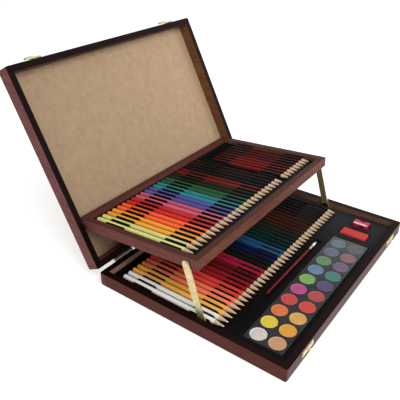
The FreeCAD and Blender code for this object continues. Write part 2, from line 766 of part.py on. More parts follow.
pins = []
studs = []
rivets = []
for side, sign in SIDES:
    start = "0 - inner_x - pivot_bite" if sign < 0 else "tray_half - pivot_depth"
    pins.append(rod(f"tray_pin_{side}", "X", start, "half_depth - pivot_from_rear",
                    "base_height + pivot_rise", "pivot_pin / 2",
                    "pivot_bite + inner_x - tray_half + pivot_depth"))
    head_x = "0 - arm_inner + stud_play" if sign < 0 else "arm_inner - stud_play - stud_head_thick"
    collar_x = "0 - inner_x" if sign < 0 else "arm_outer + stud_play"
    studs.append(fuse(f"stud_{side}", [
        stud_parts(f"stud_{side}_shank", sign, "stud / 2"),
        rod(f"stud_{side}_head", "X", head_x, "stud_y", "stud_z", "stud_head / 2", "stud_head_thick"),
        rod(f"stud_{side}_collar", "X", collar_x, "stud_y", "stud_z", "stud_head / 2",
            "inner_x - arm_outer - stud_play")]))
    shank_x = "0 - arm_outer - pin_play - rivet_head_thick" if sign < 0 else "tray_half - pivot_depth"
    cap_x = "0 - arm_outer - pin_play - rivet_head_thick" if sign < 0 else "arm_outer + pin_play"
    washer_x = "0 - arm_inner + pin_play" if sign < 0 else "tray_half"
    rivets.append(fuse(f"rivet_{side}", [
        rod(f"rivet_{side}_shank", "X", shank_x, "arm_pivot_back", "0 - arm_pivot_below", "rivet / 2",
            "pivot_depth + arm_outer - tray_half + pin_play + rivet_head_thick"),
        rod(f"rivet_{side}_cap", "X", cap_x, "arm_pivot_back", "0 - arm_pivot_below",
            "rivet_head / 2", "rivet_head_thick"),
        rod(f"rivet_{side}_washer", "X", washer_x, "arm_pivot_back", "0 - arm_pivot_below",
            "rivet_head / 2", "arm_inner - tray_half - pin_play")]))
node("tray_pivot_pins", group("tray_pins", pins), lid_place)
node("arm_studs", group("stud_pair", studs))
node("arm_rivets", group("rivet_pair", rivets), tray_place)


# ---------------------------------------------------------------- link arms
def link_arm(side, sign):
    """A strip with round ends that hangs from its rivet along -Z, with a window at its foot."""
    x = "0 - arm_outer" if sign < 0 else "arm_inner"
    foot = "0 - arm_reach"
    strip = fuse(f"{side}_arm_strip", [
        box(f"{side}_arm_flat", x, "0 - arm_width / 2", foot, "arm_thick", "arm_width", "arm_reach"),
        rod(f"{side}_arm_eye", "X", x, "0", "0", "arm_width / 2", "arm_thick"),
        box(f"{side}_arm_foot", x, "0 - arm_foot_width / 2", f"{foot} - arm_tail", "arm_thick",
            "arm_foot_width", "arm_tail + foot_slide_down + arm_foot_width / 2")])
    window = box(f"{side}_arm_window", x, "0 - stud / 2 - foot_slide_side - stud_play / 2",
                 f"{foot} - stud / 2 - foot_slide_down - stud_play / 2", "arm_thick",
                 "stud + 2 * foot_slide_side + stud_play",
                 "stud + foot_slide_up + foot_slide_down + stud_play")
    eye = rod(f"{side}_arm_bore", "X", x, "0", "0", "rivet / 2 + pin_play", "arm_thick")
    return cut(f"{side}_arm_cut", strip, [window, eye])


for side, sign in SIDES:
    node(f"link_arm_{side}", link_arm(side, sign), arm_place)

# ---------------------------------------------------------------- base insert
insert = doc.addObject("PartDesign::Body", "base_insert_body")
outline = plane_sketch(insert, "insert_outline", "XY_Plane", "panel")
rectangle(outline, "0 - insert_x", "insert_x", "0 - insert_y", "insert_y")
pad(insert, "insert_block", outline, "deck - panel")

under = plane_sketch(insert, "insert_under", "XY_Plane", "panel")
rectangle(under, "notch_width + deck_skin - insert_x", "insert_x - notch_width - deck_skin",
          "lower_tip_y", "insert_y - deck_skin")
pocket(insert, "insert_underside", under, "lower_axis - groove_radius - deck_skin - panel", upward=True)

recesses = {
    "paint": ("paint_x - recess_gap", "paint_x + paint_length + recess_gap", "paint_y - recess_gap",
              "paint_y + paint_depth + recess_gap", "deck - panel - recess_floor"),
    "brush": ("brush_x - brush_room_behind",
              "brush_x + brush_handle + ferrule_length + bristle_length + brush_room_ahead",
              "brush_y - brush_channel / 2", "brush_y + brush_channel / 2",
              "brush_diameter / 2 + brush_below_deck + insert_gap"),
    "eraser": ("eraser_x - recess_gap", "eraser_x + eraser_width + recess_gap", "eraser_y - recess_gap",
               "eraser_y + eraser_length + recess_gap", "eraser_height - eraser_proud + insert_gap"),
    "sharpener": ("sharpener_x - recess_gap", "sharpener_x + sharpener_width + recess_gap",
                  "sharpener_y - recess_gap", "sharpener_y + sharpener_length + recess_gap",
                  "sharpener_height - sharpener_proud + insert_gap"),
    "left_notch": (f"0 - insert_x - {OVERCUT}", "notch_width - insert_x", "0 - notch_front",
                   "0 - notch_rear", f"deck - panel + {OVERCUT}"),
    "right_notch": ("insert_x - notch_width", f"insert_x + {OVERCUT}", "0 - notch_front",
                    "0 - notch_rear", f"deck - panel + {OVERCUT}"),
}
for recess, (x0, x1, y0, y1, depth) in recesses.items():
    sketch = plane_sketch(insert, f"{recess}_outline", "XY_Plane", "deck")
    rectangle(sketch, x0, x1, y0, y1)
    pocket(insert, f"{recess}_recess", sketch, depth)


def grooves_and_ribs(body, tag, first_x, axis_z, middle, count, pitch, rib_width, deck, rib_starts):
    """One groove for each pencil, and bars with round ends between them at two stations."""
    groove = plane_sketch(body, f"{tag}_groove", "XZ_Plane", f"0 - ({middle})")
    circle = groove.addGeometry(Part.Circle(FreeCAD.Vector(number(first_x), number(axis_z), 0),
                                            FreeCAD.Vector(0, 0, 1), number("groove_radius")))
    hold(groove, "DistanceX", first_x, -1, 1, circle, 3)
    hold(groove, "DistanceY", axis_z, -1, 1, circle, 3)
    hold(groove, "Radius", "groove_radius", circle)
    first_groove = pocket(body, f"{tag}_first_groove", groove, "pencil_length + 2 * groove_overrun",
                          symmetric=True)
    repeat(body, f"{tag}_grooves", first_groove, groove, count, pitch)
    rib = plane_sketch(body, f"{tag}_rib", "XY_Plane", f"{deck} - deck_skin / 2")
    for start in rib_starts:
        bar(rib, f"{first_x} - {pitch} / 2", f"{start} + {rib_width} / 2",
            f"{start} + {tag}_rib_length - {rib_width} / 2", f"{rib_width} / 2")
    first_rib = pad(body, f"{tag}_first_rib", rib, f"{tag}_rib_top + deck_skin / 2")
    repeat(body, f"{tag}_ribs", first_rib, rib, count + 1, pitch)


grooves_and_ribs(insert, "lower", "lower_first_x", "lower_axis",
                 "(lower_tip_y + lower_end_y) / 2", lower_count, "lower_pitch", "lower_rib_width", "deck",
                 ("lower_tip_y + lower_rib_front", "lower_tip_y + lower_rib_rear"))
node("base_insert", insert)

# ---------------------------------------------------------------- tray insert
tray_insert = doc.addObject("PartDesign::Body", "tray_insert_body")
outline = plane_sketch(tray_insert, "tray_insert_outline", "XY_Plane", "panel - tray_height")
rectangle(outline, "insert_gap - tray_inner_x", "tray_inner_x - insert_gap", "tray_wall + insert_gap",
          "tray_depth - tray_wall - insert_gap")
pad(tray_insert, "tray_insert_block", outline, "tray_height - tray_deck_below - panel")
under = plane_sketch(tray_insert, "tray_insert_under", "XY_Plane", "panel - tray_height")
rectangle(under, "insert_gap - tray_inner_x + deck_skin", "tray_inner_x - insert_gap - deck_skin",
          "tray_wall + insert_gap + deck_skin", "tray_depth - tray_wall - insert_gap - deck_skin")
pocket(tray_insert, "tray_insert_underside", under,
       "upper_axis - groove_radius - deck_skin - panel + tray_height", upward=True)
grooves_and_ribs(tray_insert, "upper", "upper_first_x", "upper_axis",
                 "(upper_tip_s + upper_end_s) / 2", upper_count, "upper_pitch", "upper_rib_width",
                 "0 - tray_deck_below",
                 ("upper_tip_s + upper_rib_front", "upper_tip_s + upper_rib_rear"))
node("tray_insert", tray_insert, tray_place)


# ---------------------------------------------------------------- pencils
def pencil(name, x, tip_y, z, length):
    """A round pencil along +Y: sharpened cone, barrel and chamfered end."""
    barrel_y = f"{tip_y} + cone_length"
    barrel = f"{length} - cone_length - end_chamfer"
    return fuse(name, [
        taper(f"{name}_cone", "Y", x, tip_y, z, "lead_diameter / 2", "pencil_radius", "cone_length"),
        rod(f"{name}_barrel", "Y", x, barrel_y, z, "pencil_radius", barrel),
        taper(f"{name}_end", "Y", x, f"{barrel_y} + {barrel}", z, "pencil_radius",
              "pencil_radius - end_chamfer / 2", "end_chamfer")])


def pencil_rows(tag, first, count, groups, first_x, pitch, tip_y, z, placement, length="pencil_length"):
    """Pencils first .. first + count - 1 of a row, shared out over equal groups."""
    for part in range(groups):
        low = first + count * part // groups
        high = first + count * (part + 1) // groups
        name = tag if groups == 1 else f"{tag}_{part + 1}"
        pencils = [pencil(f"{name}_pencil_{index}", in_row(first_x, pitch, index), tip_y, z, length)
                   for index in range(low, high)]
        node(name, group(f"{name}_set", pencils), placement)


pencil_rows("pencils_lower", 0, lower_count, PENCIL_GROUPS_LOWER, "lower_first_x", "lower_pitch",
            "lower_tip_y", "lower_axis", None)
pencil_rows("pencils_upper", 0, coloured_count, PENCIL_GROUPS_UPPER, "upper_first_x", "upper_pitch",
            "upper_tip_s", "upper_axis", tray_place)
pencil_rows("pencils_graphite", coloured_count + 1, GRAPHITE_PENCILS, 1, "upper_first_x",
            "upper_pitch", "upper_tip_s", "upper_axis", tray_place, "graphite_length")

# ---------------------------------------------------------------- paint set
wells = []
cakes = []
for row in range(PAN_ROWS):
    for column in range(pans_in_row):
        x = f"paint_x + cake_gap + ({column} + 0.5) * pan_pitch"
        y = f"paint_y + paint_depth / 2 + ({row} - 0.5) * pan_row_pitch"
        wells.append(rod(f"well_{row}_{column}", "Z", x, y, "paint_top - pan_depth",
                         "pan_diameter / 2", "pan_depth"))
        cakes.append(rod(f"cake_{row}_{column}", "Z", x, y, "paint_top - pan_depth",
                         "pan_diameter / 2 - cake_gap", "pan_depth - cake_gap"))
paint_block = box("paint_block", "paint_x", "paint_y", "paint_floor", "paint_length", "paint_depth",
                  "paint_top - paint_floor")
node("paint_tray", cut("paint_tray_cut", paint_block, wells))
node("paint_pans", group("paint_cakes", cakes))
node("paint_cover", box("cover", "paint_x", "paint_y", "paint_top", "paint_length", "paint_depth",
                        "cover_thick"))

# ---------------------------------------------------------------- brush, eraser and sharpener
half_handle = "brush_handle / 2"
node("brush_handle", fuse("handle", [
    taper("handle_rear", "X", "brush_x", "brush_y", "brush_z", "brush_neck / 2", "brush_diameter / 2",
          half_handle),
    taper("handle_front", "X", f"brush_x + {half_handle}", "brush_y", "brush_z", "brush_diameter / 2",
          "brush_neck / 2", half_handle)]))
node("brush_ferrule", rod("ferrule", "X", "brush_x + brush_handle", "brush_y", "brush_z",
                          "ferrule_diameter / 2", "ferrule_length"))
node("brush_bristles", taper("bristles", "X", "brush_x + brush_handle + ferrule_length", "brush_y",
                             "brush_z", "ferrule_diameter / 2", "ferrule_diameter / 8", "bristle_length"))
node("eraser", box("eraser_block", "eraser_x", "eraser_y", "eraser_z", "eraser_width",
                   "eraser_length", "eraser_height"))

block = box("sharpener_block", "sharpener_x", "sharpener_y", "sharpener_z", "sharpener_width",
            "sharpener_length", "sharpener_height")
waist_y = "sharpener_y + sharpener_length / 2"
waist_left = rod("waist_left", "Z", "sharpener_x - waist", waist_y, "sharpener_z", "waist_radius",
                 "sharpener_height")
waist_right = rod("waist_right", "Z", "sharpener_x + sharpener_width + waist", waist_y, "sharpener_z",
                  "waist_radius", "sharpener_height")
mouth = taper("sharpener_mouth", "Y", "sharpener_x + sharpener_width / 2", "sharpener_y",
              "sharpener_z + sharpener_height / 2", "sharpener_bore / 2", "lead_diameter",
              "sharpener_bore_depth")
blade_seat = box("blade_seat", "sharpener_x + blade_inset",
                 "sharpener_y + (sharpener_length - blade_length) / 2",
                 "sharpener_z + sharpener_height - blade_thick", "blade_width", "blade_length",
                 "blade_thick")
blade = box("blade", "sharpener_x + blade_inset",
            "sharpener_y + (sharpener_length - blade_length) / 2",
            "sharpener_z + sharpener_height - blade_thick", "blade_width", "blade_length", "blade_thick")
node("sharpener_body", cut("sharpener_cut", block, [waist_left, waist_right, mouth, blade_seat]))
node("sharpener_blade", blade)

# ---------------------------------------------------------------- checks and files
doc.removeObject(reader.Name)
doc.recompute()
for item in doc.Objects:
    if {"Invalid", "Error"} & set(item.State):
        raise RuntimeError(f"{item.Label} did not recompute: {item.State}")
for name, item in NODES.items():
    if item.Shape.isNull() or not item.Shape.isValid() or not item.Shape.Solids:
        raise RuntimeError(f"{name} has no valid solid")

os.makedirs("parts", exist_ok=True)
for name, item in NODES.items():
    item.Shape.exportStep(f"parts/{name}.step")
print(len(NODES), "nodes")
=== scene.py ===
import json
import math
from collections import namedtuple

import bmesh
import bpy
import numpy as np
from mathutils import Matrix, Vector


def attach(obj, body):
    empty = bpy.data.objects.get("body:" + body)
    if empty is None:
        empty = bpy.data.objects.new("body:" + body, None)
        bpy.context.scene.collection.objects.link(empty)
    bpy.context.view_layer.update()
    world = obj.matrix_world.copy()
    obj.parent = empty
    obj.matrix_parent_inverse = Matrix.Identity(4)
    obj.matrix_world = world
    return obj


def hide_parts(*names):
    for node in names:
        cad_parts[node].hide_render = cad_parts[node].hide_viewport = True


# The looks of a wooden artist's case: pencils in the base and in a raised tray, a paint set,
# a brush, an eraser and a sharpener.  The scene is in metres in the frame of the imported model:
# X is the width, -Y the front, +Y the hinge side, +Z up.  The sizes given to the mesh makers
# are in millimetres, and MM turns them into metres.

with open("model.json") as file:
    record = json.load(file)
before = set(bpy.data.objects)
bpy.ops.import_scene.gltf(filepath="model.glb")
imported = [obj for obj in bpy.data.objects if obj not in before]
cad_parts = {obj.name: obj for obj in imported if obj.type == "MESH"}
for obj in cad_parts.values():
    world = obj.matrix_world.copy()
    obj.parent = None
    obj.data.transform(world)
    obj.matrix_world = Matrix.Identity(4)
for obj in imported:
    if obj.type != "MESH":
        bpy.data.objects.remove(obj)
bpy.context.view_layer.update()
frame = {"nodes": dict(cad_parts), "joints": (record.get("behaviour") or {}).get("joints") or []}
nodes = frame["nodes"]
joints = {joint["name"]: joint for joint in frame["joints"]}
MM = 0.001

# ---------------------------------------------------------------- where the moving parts stand
hinge = Vector(joints["lid_hinge"]["pos_m"])
lid_open = math.radians(-joints["lid_hinge"]["range_deg"][0])
BASE = Matrix.Identity(4)
LID = Matrix.Translation(hinge) @ Matrix.Rotation(-lid_open, 4, "X") @ Matrix.Translation(-hinge)
lift = joints["upper_pencils_lift"]["axis"]
tray_tilt = math.atan2(lift[1], lift[2])
TRAY_ROTATION = Matrix.Rotation(-tray_tilt, 4, "X")


def local_box(name, place=BASE):
    """(low, high) corners of a CAD node, in millimetres, in the frame that place moves."""
    back = place.inverted()
    points = np.array([back @ vertex.co for vertex in nodes[name].data.vertices]) / MM
    return Vector(points.min(0)), Vector(points.max(0))


# The tray's own frame: its origin is the middle of its front top edge, Y runs to the rear.
tray_low, tray_high = local_box("tray_front_wall", TRAY_ROTATION)
TRAY = TRAY_ROTATION @ Matrix.Translation(Vector((0, tray_low.y, tray_high.z)) * MM)


# ---------------------------------------------------------------- colours and node helpers
def linear(red, green, blue):
    """A screen colour, 0 to 255, as the linear values that shaders take."""
    def one(value):
        value /= 255
        return value / 12.92 if value <= 0.04045 else ((value + 0.055) / 1.055) ** 2.4
    return one(red), one(green), one(blue), 1.0


def grey(value):
    return value, value, value, 1.0


def shade(color, factor):
    """The colour made darker, or lighter by a factor over 1."""
    return color[0] * factor, color[1] * factor, color[2] * factor, 1.0


class Nodes:
    """A node tree being built: its nodes are added by short calls and wired as they come."""

    def __init__(self, tree):
        self.tree = tree

    def add(self, kind, inputs=None, **settings):
        node = self.tree.nodes.new(kind)
        for name, value in settings.items():
            setattr(node, name, value)
        for socket, value in (inputs or {}).items():
            self.put(value, node.inputs[socket])
        return node

    def put(self, value, socket):
        if isinstance(value, bpy.types.NodeSocket):
            self.tree.links.new(value, socket)
        else:
            socket.default_value = value

    def coordinates(self, scale=(1, 1, 1), turn=(0, 0, 0)):
        source = self.add("ShaderNodeTexCoord").outputs["Object"]
        return self.add("ShaderNodeMapping", {"Vector": source, "Scale": scale, "Rotation": turn}).outputs[0]

    def normal(self):
        return self.add("ShaderNodeTexCoord").outputs["Normal"]

    def sideways(self, vector):
        """The X part of a vector."""
        return self.add("ShaderNodeSeparateXYZ", {"Vector": vector}).outputs["X"]

    def noise(self, vector, scale, detail=3.0, rough=0.5, distortion=0.0):
        node = self.add("ShaderNodeTexNoise", {"Vector": vector, "Scale": scale, "Detail": detail,
                                               "Roughness": rough, "Distortion": distortion})
        return node.outputs["Fac"]

    def ramp(self, factor, *stops):
        node = self.add("ShaderNodeValToRGB", {"Fac": factor})
        elements = node.color_ramp.elements
        while len(elements) < len(stops):
            elements.new(0.5)
        for element, (position, color) in zip(elements, stops):
            element.position = position
            element.color = color
        return node.outputs["Color"]

    def spread(self, factor, low, high, low_in=0.0, high_in=1.0):
        """A number that goes from low to high as factor goes from low_in to high_in."""
        node = self.add("ShaderNodeMapRange", {"Value": factor, "From Min": low_in, "From Max": high_in,
                                               "To Min": low, "To Max": high})
        return node.outputs[0]

    def facing(self, amount):
        """1 where amount, a surface's turn towards a direction, is nearly 1, and 0 on other sides."""
        return self.spread(amount, 0.0, 1.0, 0.5, 0.85)

    def mix(self, factor, first, second, blend="MIX"):
        node = self.add("ShaderNodeMix", data_type="RGBA", blend_type=blend)
        self.put(factor, node.inputs["Factor"])
        self.put(first, node.inputs["A"])
        self.put(second, node.inputs["B"])
        return node.outputs["Result"]

    def math(self, operation, first, second=0.0):
        return self.add("ShaderNodeMath", {0: first, 1: second}, operation=operation).outputs[0]

    def bump(self, height, strength, distance):
        return self.add("ShaderNodeBump", {"Height": height, "Strength": strength,
                                           "Distance": distance}).outputs[0]

    def seen(self):
        """1 for rays from the camera and for those that metal and clear sheet send on, else 0."""
        rays = self.add("ShaderNodeLightPath").outputs
        sent_on = self.math("MAXIMUM", rays["Is Glossy Ray"], rays["Is Transmission Ray"])
        return self.math("MAXIMUM", rays["Is Camera Ray"], sent_on)


class Shader(Nodes):
    """A material being built round its Principled BSDF."""

    SOCKETS = {"color": "Base Color", "rough": "Roughness", "metal": "Metallic", "alpha": "Alpha",
               "specular": "Specular IOR Level", "normal": "Normal"}

    def __init__(self, name):
        self.material = bpy.data.materials.new(name)
        self.material.use_nodes = True
        super().__init__(self.material.node_tree)
        self.surface = self.tree.nodes["Principled BSDF"]

    def set(self, **values):
        for name, value in values.items():
            self.put(value, self.surface.inputs[self.SOCKETS[name]])


# ---------------------------------------------------------------- materials
WOOD = linear(108, 62, 54)
STAIN = linear(60, 30, 27)
# The rims' dark stain, with painted shade in it.
RIM = linear(26, 9, 9)
# Painted reflection on the base insert, lighter towards its right end.
PAINTED_SHEEN = linear(40, 41, 46)


def stained_wood(name, grain_turn, along_x, wood, rim_normal, rim_color, end_wood=None):
    """Mahogany-stained board: fine pores along the grain, a darker rim where rim_normal faces, which is dark
    stain with painted shade, and end_wood on the ends of a board that runs along X."""
    shader = Shader(name)
    stretch = (6, 60, 60) if along_x else (60, 6, 60)
    along = shader.coordinates(stretch, grain_turn)
    bands = shader.noise(along, 2.2, detail=6.0, rough=0.62, distortion=0.5)
    pores = shader.noise(along, 14.0, detail=4.0, rough=0.7)
    patches = shader.noise(shader.coordinates((9, 9, 9)), 1.6, detail=2.0)
    color = shader.ramp(bands, (0.28, shade(wood, 0.62)), (0.5, wood), (0.78, shade(wood, 1.2)))
    if end_wood is not None:
        end = shader.facing(shader.math("ABSOLUTE", shader.sideways(shader.normal())))
        color = shader.mix(end, color, shader.ramp(bands, (0.28, shade(end_wood, 0.62)), (0.5, end_wood)))
    color = shader.mix(shader.spread(pores, 0.5, 0.0, 0.38, 0.52), color, STAIN)
    color = shader.mix(shader.spread(patches, 0.0, 0.3, 0.35, 0.7), color, shade(wood, 0.74))
    # Painted shade with the dark stain: faces turned to rim_normal go darker, flecked where worn.
    upward = shader.add("ShaderNodeVectorMath", {0: shader.normal(), 1: rim_normal}, operation="DOT_PRODUCT")
    worn_and_shaded_rim = shader.mix(shader.spread(pores, 0.0, 0.5, 0.3, 0.7), rim_color, shade(rim_color, 0.5))
    color = shader.mix(shader.facing(upward.outputs["Value"]), color, worn_and_shaded_rim)
    shader.set(color=color, rough=shader.spread(bands, 0.42, 0.56), specular=0.05,
               normal=shader.bump(pores, 0.25, 0.0004))
    return shader.material


def hardboard(name, color, grain_turn, half_width, painted_falloff=0.0):
    """Bare hardboard: pressed fibres, soft mottling and a few darker flecks.  It may carry a painted falloff
    of light, painted shade darker by that share towards its left end and painted light towards its right."""
    shader = Shader(name)
    cloth = shader.coordinates(turn=grain_turn)
    mottle = shader.noise(cloth, 90.0, detail=6.0, rough=0.8)
    pressed = shader.coordinates((1, 2.2, 1), grain_turn)
    fibres = shader.noise(pressed, 260.0, detail=4.0, rough=0.75, distortion=1.2)
    flecks = shader.noise(cloth, 260.0, detail=2.0)
    base = shader.ramp(mottle, (0.34, shade(color, 0.84)), (0.52, color), (0.68, shade(color, 1.12)))
    base = shader.mix(shader.spread(fibres, 0.0, 0.4, 0.4, 0.75), base, shade(color, 0.8))
    base = shader.mix(shader.spread(flecks, 0.0, 0.5, 0.7, 0.8), base, shade(color, 0.62))
    across = shader.sideways(shader.coordinates())
    # Painted shade towards the left end, painted light towards the right.
    falloff = shader.spread(across, 1 - painted_falloff, 1 + painted_falloff, -half_width, half_width)
    falloff = shader.add("ShaderNodeCombineXYZ", {"X": falloff, "Y": falloff, "Z": falloff}).outputs[0]
    shader.set(color=shader.mix(1.0, base, falloff, "MULTIPLY"), rough=0.78, specular=0.2,
               normal=shader.bump(fibres, 0.35, 0.0003))
    return shader.material


def formed_plastic(name, color, rough=0.42, sheen_from=None, sheen_to=None):
    """Black formed sheet: fine leather-like pips, faint bloom where it catches light, and
    a painted reflection that grows from one x to another."""
    shader = Shader(name)
    place = shader.coordinates()
    pips = shader.add("ShaderNodeTexVoronoi", {"Vector": place, "Scale": 1400.0}).outputs["Distance"]
    bloom = shader.noise(place, 22.0, detail=4.0, rough=0.6)
    specks = shader.noise(place, 600.0, detail=2.0, rough=0.6)
    base = shader.mix(shader.spread(bloom, 0.0, 1.0, 0.35, 0.75), color, shade(color, 1.7))
    base = shader.mix(shader.spread(specks, 0.0, 0.5, 0.66, 0.8), base, grey(0.06))
    # Painted reflection, lighter from one x to the other.
    if sheen_from is not None:
        base = shader.mix(shader.spread(shader.sideways(place), 0.0, 1.0, sheen_from, sheen_to), base, PAINTED_SHEEN)
    shader.set(color=base, rough=shader.spread(bloom, rough - 0.08, rough + 0.1), specular=0.04,
               normal=shader.bump(pips, 0.18, 0.0002))
    return shader.material


def lacquer(name, color, gloss=0.22):
    """Pencil lacquer: coloured coat with slight pooling along the length and fine scuffs.  Its
    highlight is weaker on a dark coat, which would look grey with a full one."""
    shader = Shader(name)
    pooling = shader.noise(shader.coordinates((90, 8, 90)), 1.2)
    scuffs = shader.noise(shader.coordinates((300, 40, 300)), 3.0, rough=0.7)
    base = shader.ramp(pooling, (0.3, shade(color, 0.82)), (0.55, color), (0.8, shade(color, 1.12)))
    shader.set(color=base, rough=shader.spread(scuffs, gloss, gloss + 0.22, 0.4, 0.75),
               specular=0.03 + 0.3 * max(color[:3]), normal=shader.bump(scuffs, 0.05, 0.0001))
    return shader.material


def sharpened_wood():
    """Bare pencil wood as a sharpener leaves it, with its grain along the pencil."""
    shader = Shader("pencil_cut_wood")
    grain = shader.noise(shader.coordinates((500, 60, 500)), 2.0, detail=4.0, rough=0.6)
    color = linear(208, 182, 148)
    base = shader.ramp(grain, (0.3, shade(color, 0.72)), (0.6, color))
    shader.set(color=base, rough=0.62, specular=0.3, normal=shader.bump(grain, 0.3, 0.0002))
    return shader.material


def metal(name, color, rough, scratches=0.12, metallic=1.0):
    """Plated or drawn metal: fine draw lines, cloudy tarnish and uneven gloss."""
    shader = Shader(name)
    lines = shader.noise(shader.coordinates((40, 900, 900)), 2.0, rough=0.6)
    cloud = shader.noise(shader.coordinates(), 160.0, rough=0.6)
    base = shader.ramp(cloud, (0.3, shade(color, 0.72)), (0.6, color), (0.85, shade(color, 1.08)))
    shader.set(color=base, metal=metallic, rough=shader.spread(lines, rough, rough + 0.2, 0.35, 0.7),
               normal=shader.bump(lines, scratches, 0.0001))
    return shader.material


def moulded(name, color, rough, scale, depth, bump=0.2, specular=0.4):
    """A moulded or pressed material: mottled by a depth, with a finer bump."""
    shader = Shader(name)
    place = shader.coordinates()
    coarse = shader.noise(place, scale, detail=4.0, rough=0.6)
    fine = shader.noise(place, scale * 9, rough=0.6)
    base = shader.ramp(coarse, (0.3, shade(color, 1 - depth)), (0.6, color),
                       (0.85, shade(color, 1 + depth / 2)))
    shader.set(color=base, rough=shader.spread(fine, rough - 0.06, rough + 0.1), specular=specular,
               normal=shader.bump(fine, bump, 0.0003))
    return shader.material


def hazy_cover(name, near_x, far_x):
    """Thin clear sheet that goes milky towards its far end."""
    shader = Shader(name)
    across = shader.sideways(shader.coordinates())
    haze = shader.math("POWER", shader.spread(across, 0.0, 1.0, near_x, far_x), 2.2)
    haze = shader.spread(haze, 0.03, 0.4)
    streaks = shader.noise(shader.coordinates((1, 5, 1)), 30.0, rough=0.6)
    haze = shader.math("MULTIPLY", haze, shader.spread(streaks, 0.8, 1.15))
    shader.set(color=linear(118, 121, 126), rough=shader.spread(streaks, 0.1, 0.22), specular=0.3,
               alpha=haze)
    return shader.material


# ---------------------------------------------------------------- mesh helpers
def add_piece(name, mesh, body, node, materials):
    """Puts a smooth-shaded mesh on its body, in the place of a CAD node and with its finish."""
    item = bpy.data.objects.new(name, mesh)
    bpy.context.scene.collection.objects.link(item)
    for material in materials:
        mesh.materials.append(material)
    mesh.polygons.foreach_set("use_smooth", [True] * len(mesh.polygons))
    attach(item, body)
    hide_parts(node)


def turned(name, outline, at, toward, place=BASE, sides=32, shape=None):
    """A solid of revolution: outline is (distance along, radius, material) from one end to the
    other; shape(turn) may scale the radius."""
    toward = Vector(toward).normalized()
    side = toward.orthogonal().normalized()
    over = toward.cross(side)
    points = []
    for along, radius, _ in outline:
        for step in range(sides):
            turn = 2 * math.pi * step / sides
            reach = radius * (shape(turn) if shape else 1.0)
            spoke = side * math.cos(turn) + over * math.sin(turn)
            points.append(place @ ((Vector(at) + toward * along + spoke * reach) * MM))
    faces = []
    marks = []
    for ring in range(len(outline) - 1):
        for step in range(sides):
            following = (step + 1) % sides
            faces.append((ring * sides + step, ring * sides + following,
                          (ring + 1) * sides + following, (ring + 1) * sides + step))
            marks.append(outline[ring][2])
    last = (len(outline) - 1) * sides
    faces += [tuple(reversed(range(sides))), tuple(range(last, last + sides))]
    marks += [outline[0][2], outline[-2][2]]
    mesh = bpy.data.meshes.new(name)
    mesh.from_pydata(points, [], faces)
    mesh.polygons.foreach_set("material_index", marks)
    mesh.update()
    return mesh


def rounded_block(name, low, high, radius, segments=3):
    """A block with rounded edges, from corner to corner."""
    shape = bmesh.new()
    bmesh.ops.create_cube(shape, size=1.0)
    for vertex in shape.verts:
        vertex.co = Vector(low[axis] + (high[axis] - low[axis]) * (vertex.co[axis] + 0.5)
                           for axis in range(3))
    bmesh.ops.bevel(shape, geom=list(shape.edges), offset=radius, segments=segments, profile=0.5,
                    affect="EDGES", clamp_overlap=True)
    for vertex in shape.verts:
        vertex.co *= MM
    mesh = bpy.data.meshes.new(name)
    shape.to_mesh(mesh)
    shape.free()
    return mesh


SHARP = math.radians(35)


def soften(name, width):
    """Rounds the sharp edges of a CAD node that stays in view."""
    bevel = nodes[name].modifiers.new("rounding", "BEVEL")
    bevel.width = width * MM
    bevel.segments = 2
    bevel.limit_method = "ANGLE"
    bevel.angle_limit = SHARP
    faces = nodes[name].data.polygons
    faces.foreach_set("use_smooth", [True] * len(faces))


def dress(name, material, rounding=None):
    """Gives a CAD node its material and, where it shows its edges, their rounding."""
    nodes[name].data.materials.clear()
    nodes[name].data.materials.append(material)
    if rounding is not None:
        soften(name, rounding)


# ---------------------------------------------------------------- formed sheets
FINEST_STEP = 0.12


def smooth_step(value):
    value = np.clip(value, 0.0, 1.0)
    return value * value * (3 - 2 * value)


def pad_distance(x, y, low, high, radius):
    """Signed distance to a rectangle with round corners, in plan."""
    middle = ((low[0] + high[0]) / 2, (low[1] + high[1]) / 2)
    half = ((high[0] - low[0]) / 2 - radius, (high[1] - low[1]) / 2 - radius)
    out_x = np.abs(x - middle[0]) - half[0]
    out_y = np.abs(y - middle[1]) - half[1]
    outside = np.hypot(np.maximum(out_x, 0), np.maximum(out_y, 0))
    return outside + np.minimum(np.maximum(out_x, out_y), 0) - radius


def bar_distance(x, y, middle, start, end, radius):
    """Signed distance to a bar along Y with round ends, in plan."""
    nearest_y = np.clip(y, start + radius, end - radius)
    return np.hypot(x - middle, y - nearest_y) - radius


def rolled_edge(x, y, low, high, corner, drop, reach):
    """How far a sheet drops where it rolls over, within reach of its edge."""
    return drop * smooth_step((pad_distance(x, y, low, high, corner) + reach) / reach)


def fine_lines(low, high, coarse, places=()):
    """Grid positions from low to high, closer together around each (place, reach, step)."""
    lines = [low, high]
    lines += list(np.arange(low, high, coarse))
    for place, reach, step in places:
        lines += list(np.arange(place - reach, place + reach + step / 2, step))
    lines = np.unique(np.round([line for line in lines if low <= line <= high], 3))
    keep = [lines[0]]
    for line in lines[1:]:
        if line - keep[-1] > FINEST_STEP:
            keep.append(line)
    keep[-1] = high
    return np.array(keep)


def both_ends(low, high, axis, reach, step):
    """A fine place for the grid at each end of a box."""
    return [(low[axis], reach, step), (high[axis], reach, step)]


